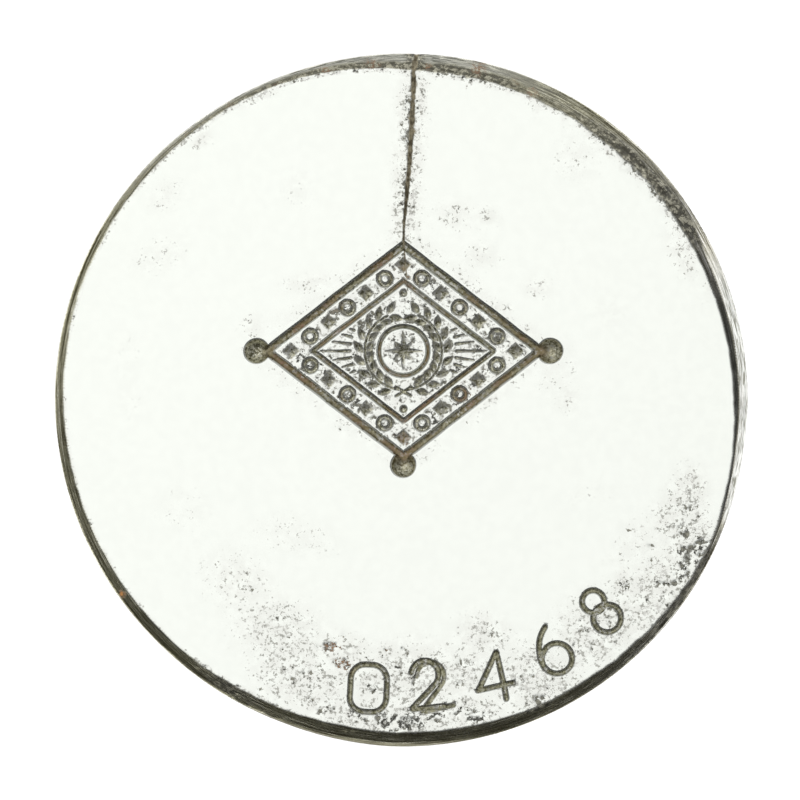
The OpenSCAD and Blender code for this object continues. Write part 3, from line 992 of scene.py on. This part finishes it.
class Steel(Graph):
    """The die's steel: polished metal with layer upon layer of wear, and painted light on the rim. Lengths
    are in millimetres.
    """

    def __init__(self, material):
        super().__init__(material)
        where = self.node("TexCoord", "Object")
        spot = self.node("VectorMath", inputs={0: where, "Scale": 1 / MM}, operation="SCALE")
        x, y, _ = self.split(spot)
        radius = self.math("SQRT", self.plus(self.times(x, x), self.times(y, y)))
        self.unit_x = self.math("DIVIDE", x, radius)
        self.unit_y = self.math("DIVIDE", y, radius)
        self.ring = self.attribute("ring")
        self.worn = self.attribute("worn")
        self.bevel = self.attribute("bevel")
        self.dull = self.attribute("dull")
        self.rust = self.attribute("rust")
        # Noises, from fine to broad, and the marks of the lathe and the grinder.
        self.fine = self.noise(spot, 6.0)
        self.grit = self.noise(spot, 3.0, 5.0, 0.72)
        self.flake = self.noise(spot, 1.9, 4.0, 0.65)
        self.clump = self.noise(spot, 1.5, 3.0)
        self.blotch = self.noise(spot, 1.1, 4.0)
        self.small = self.weighed((self.grit, 0.5), (self.flake, 0.5))
        long_marks = self.ring_marks(3.5, 8.0)
        short_marks = self.ring_marks(14.0, 14.0)
        self.marks = self.weighed((long_marks, 0.45), (short_marks, 0.37), (self.fine, 0.18))

    def ring_marks(self, round_the_axis, across):
        """Marks round the axis. They are looked up on a circle, so that they close without a seam."""
        places = {0: self.times(self.unit_x, round_the_axis), 1: self.times(self.unit_y, round_the_axis),
                  2: self.times(self.ring, across)}
        return self.noise(self.node("CombineXYZ", inputs=places), 1.0, 1.0)

    def lay(self, mask, colour, rough=None, metal=None):
        """Lay a colour over the layers so far, and a roughness and metalness where given."""
        self.colour = self.mix(mask, self.colour, colour)
        if rough is not None:
            self.rough = self.blend(mask, self.rough, rough)
        if metal is not None:
            self.metal = self.blend(mask, self.metal, metal)

    def polish(self):
        """The polished face, hazy where it is worn."""
        clear, hazy = (0.795, 0.817, 0.768), (0.74, 0.75, 0.705)
        haze = self.times(self.between(self.worn, 0.05, 0.5), self.between(self.blotch, 0.3, 0.6))
        self.colour = self.mix(haze, clear, hazy)
        self.rough = self.between(self.blotch, 0.3, 0.7, 0.24, 0.26)
        self.metal = 1.0

    def lay_rim(self):
        """Turned and ground steel outside the face, greyer on the right and browner elsewhere, with painted
        highlight and shade.
        """
        dark, middle, light = (0.098, 0.09, 0.052), (0.42, 0.405, 0.3), (0.82, 0.8, 0.69)
        streak = self.mix(self.between(self.marks, 0.42, 0.52), dark, middle)
        streak = self.mix(self.between(self.marks, 0.56, 0.62), streak, light)
        greyer = self.between(self.unit_x, 0.4, 0.9)
        tint = self.mix(greyer, (1.0, 1.0, 0.93), (1.0, 1.0, 1.12))
        streak = self.node("VectorMath", inputs={0: streak, 1: tint}, operation="MULTIPLY")
        # Painted light: above 0 a painted highlight with scratches over it, below 0 painted shade and
        # darkening.
        painted_light = self.attribute("painted_light")
        painted_highlight = self.mix(greyer, (0.75, 0.75, 0.675), (0.74, 0.75, 0.735))
        darkening = self.mix(greyer, (0.068, 0.062, 0.042), (0.06, 0.062, 0.056))
        scratch = (0.23, 0.23, 0.195)
        streak = self.mix(self.times(painted_light, 0.75), streak, painted_highlight)
        scratched = self.between(self.ring_marks(24.0, 13.0), 0.475, 0.575)
        streak = self.mix(self.times(scratched, painted_light), streak, scratch)
        streak = self.mix(self.times(painted_light, -0.85), streak, darkening)
        # Mottled corrosion, pale grey and black.
        pale, black = (0.57, 0.55, 0.44), (0.045, 0.042, 0.028)
        rotten = self.mix(self.between(self.small, 0.45, 0.52), pale, black)
        streak = self.mix(self.between(self.worn, 0.4, 0.75, 0.0, 0.8), streak, rotten)
        # The side is plainer than the rim.
        plain = (0.31, 0.31, 0.287)
        wall = self.between(self.ring, BODY_R + 0.1, BODY_R + 0.9, 0.0, 0.75)
        rough = self.between(self.marks, 0.4, 0.6, 0.4, 0.22)
        metal = self.between(self.marks, 0.46, 0.62, 1.0, 0.87)
        self.lay(self.bevel, self.mix(wall, streak, plain), rough, metal)

    def lay_floors(self):
        """Dull floors of all that is cut or punched, with glints among the design's motifs."""
        motif = self.attribute("motif")
        dark = self.mix(motif, (0.12, 0.116, 0.068), (0.118, 0.113, 0.068))
        light = self.mix(motif, (0.36, 0.35, 0.245), (0.65, 0.635, 0.475))
        glint, brown = (0.8, 0.795, 0.7), (0.19, 0.145, 0.075)
        floor = self.mix(self.between(self.grit, 0.39, 0.6), dark, light)
        floor = self.mix(self.times(self.between(self.fine, 0.58, 0.66), motif), floor, glint)
        floor = self.mix(self.between(self.rust, 0.1, 0.75, 0.0, 0.85), floor, brown)
        self.lay(self.dull, floor, 0.38, 0.9)

    def lay_specks(self):
        """Specks of corrosion: faint grey ones, and black ones scattered and in the pits."""
        on_face = self.between(self.bevel, 0.0, 1.0, 1.0, 0.2)
        pale, grey = (0.53, 0.53, 0.495), (0.29, 0.288, 0.255)
        least = self.between(self.worn, 0.0, 0.6, 0.605, 0.505)
        faint = self.between(self.minus(self.small, least), 0.0, 0.03)
        faint = self.times(faint, self.between(self.worn, 0.06, 0.25, 0.0, 0.85))
        faint = self.times(faint, on_face)
        self.lay(faint, self.mix(self.between(self.clump, 0.4, 0.6), pale, grey))
        least = self.between(self.worn, 0.1, 1.0, 0.69, 0.55)
        large = self.weighed((self.clump, 0.2), (self.flake, 0.8))
        specks = self.between(self.minus(large, least), 0.0, 0.015)
        specks = self.times(specks, self.between(self.worn, 0.08, 0.3))
        # Patches fill the pits. Where the face is eaten away most they are like lace.
        pits = self.attribute("pits")
        ragged = self.plus(self.times(pits, 0.75), self.times(self.minus(self.grit, 0.5), 3.0))
        patches = self.times(self.between(ragged, 0.42, 0.52), self.between(pits, 0.02, 0.2))
        lacy = self.between(self.worn, 1.0, 1.25)
        holes = self.times(self.between(self.fine, 0.5, 0.55), self.times(lacy, 0.92))
        patches = self.times(patches, self.minus(1.0, holes))
        # Specks and patches are fainter on the rim and on cut floors.
        on_flat = self.between(self.dull, 0.0, 1.0, 1.0, 0.45)
        self.specks = self.times(self.most(specks, patches), self.times(on_face, on_flat))
        speck = self.mix(self.between(self.fine, 0.38, 0.62), (0.041, 0.041, 0.034), (0.112, 0.112, 0.097))
        patch = self.mix(self.between(self.grit, 0.4, 0.66), (0.054, 0.054, 0.043), (0.25, 0.245, 0.2))
        speck = self.mix(self.times(patches, self.minus(1.0, lacy)), speck, patch)
        self.lay(self.specks, speck, 0.6, 0.6)

    def lay_rust(self):
        """Rust over specks, cut floors and the rim, orange where it is fresh."""
        brown, orange = (0.15, 0.088, 0.048), (0.27, 0.125, 0.035)
        bare = self.most(self.most(self.specks, self.dull), self.bevel)
        rusty = self.times(self.times(bare, self.rust), self.between(self.grit, 0.35, 0.6))
        rust = self.mix(self.between(self.rust, 1.0, 1.4), brown, orange)
        self.lay(self.between(rusty, 0.3, 0.8), rust, metal=0.2)

    def lay_dirt(self):
        """Old dirt that fills the crack."""
        dark, pale = (0.072, 0.059, 0.033), (0.27, 0.24, 0.165)
        dirt = self.weighed((self.grit, 0.4), (self.blotch, 0.6))
        self.lay(self.attribute("crack"), self.mix(self.between(dirt, 0.4, 0.6), dark, pale), 0.65, 0.5)

    def connect(self):
        """Join the layers to the shader, with a slight bump of marks on the rim and grit on floors."""
        height = self.plus(self.times(self.marks, self.bevel), self.times(self.grit, self.dull))
        bump = self.node("Bump", inputs={"Height": height, "Strength": 0.5, "Distance": 0.05 * MM})
        places = {"Base Color": self.colour, "Roughness": self.rough, "Metallic": self.metal, "Normal": bump}
        for name, value in places.items():
            self.set(self.tree.nodes["Principled BSDF"].inputs[name], value)


def die_steel():
    """Polished steel with marks and painted light on the rim, dull floors, specks, rust and dirt, laid on in
    that order.
    """
    material = bpy.data.materials.new("die_steel")
    steel = Steel(material)
    steel.polish()
    steel.lay_rim()
    steel.lay_floors()
    steel.lay_specks()
    steel.lay_rust()
    steel.lay_dirt()
    steel.connect()
    return material


def floor_paper():
    """Matt white paper."""
    material = bpy.data.materials.new("floor_paper")
    g = Graph(material)
    where = g.node("TexCoord", "Object")
    shader = g.tree.nodes["Principled BSDF"]
    g.set(shader.inputs["Base Color"], g.mix(g.noise(where, 40.0), (0.9, 0.9, 0.895), (0.92, 0.92, 0.915)))
    g.set(shader.inputs["Roughness"], 0.9)
    return material


# The scene

def add_die():
    die = bpy.data.objects.new("die", block_mesh())
    bpy.context.scene.collection.objects.link(die)
    die.data.materials.append(die_steel())
    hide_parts("die_block")
    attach(die, "root")


def add_floor():
    floor_r = 4
    bpy.ops.mesh.primitive_circle_add(vertices=128, radius=floor_r, fill_type="NGON", location=(0, 0, 0))
    floor = bpy.context.object
    floor.name = "floor"
    floor.data.materials.append(floor_paper())


def add_camera():
    """Straight above the face, with the die where the photograph has it."""
    # The photograph's width, the die's centre in it, and millimetres to a pixel.
    photo_px = 800
    centre_px = (402.0, 399.8)
    scale = 0.1008
    # Metres from the camera down to the block's top.
    away = 0.9
    data = bpy.data.cameras.new("camera")
    data.sensor_width = 36
    data.lens = data.sensor_width * away / (photo_px * scale * MM)
    camera = bpy.data.objects.new("camera", data)
    bpy.context.scene.collection.objects.link(camera)
    shift_x = (photo_px / 2 - centre_px[0]) * scale * MM
    shift_y = (centre_px[1] - photo_px / 2) * scale * MM
    camera.location = (shift_x, shift_y, away + DIE_H * MM)
    bpy.context.scene.camera = camera


def add_light():
    """A softbox overhead that leans to the back left, a low strip on the right, and a dim room."""
    world = bpy.data.worlds.new("studio")
    bpy.context.scene.world = world
    g = Graph(world)
    way = g.node("TexCoord", "Generated")
    right, back, up = g.split(way)
    lean = Vector((-0.25, 0.25, 0.93)).normalized()
    towards = g.node("VectorMath", "Value", inputs={0: way, 1: tuple(lean)}, operation="DOT_PRODUCT")
    overhead = g.between(towards, 0.78, 0.88, 0.0, 1.3)
    strip = g.times(g.between(right, 0.55, 0.9), g.between(up, 0.26, 0.1, 0.0, 1.3))
    # The room is darkest in front.
    left = g.times(g.between(right, -0.1, -0.8, 0.0, 0.48), g.between(back, -0.7, 0.25))
    behind = g.between(back, 0.0, 0.8, 0.0, 0.58)
    dome = g.between(up, 0.45, 0.55, 0.0, 0.17)
    room = g.plus(g.most(dome, g.most(left, behind)), 0.03)
    total = g.most(overhead, g.most(strip, room))
    # Matt surfaces are lit evenly, as in a light tent, and the camera sees plain white.
    matt = g.node("LightPath", "Is Diffuse Ray")
    total = g.blend(matt, total, 2.2)
    seen = g.node("LightPath", "Is Camera Ray")
    total = g.blend(seen, total, 1.0)
    background = g.tree.nodes["Background"]
    g.set(background.inputs["Color"], (1.0, 1.0, 1.0))
    g.set(background.inputs["Strength"], total)
    bpy.context.scene.view_settings.view_transform = "Standard"


add_camera()
add_light()
add_floor()
add_die()
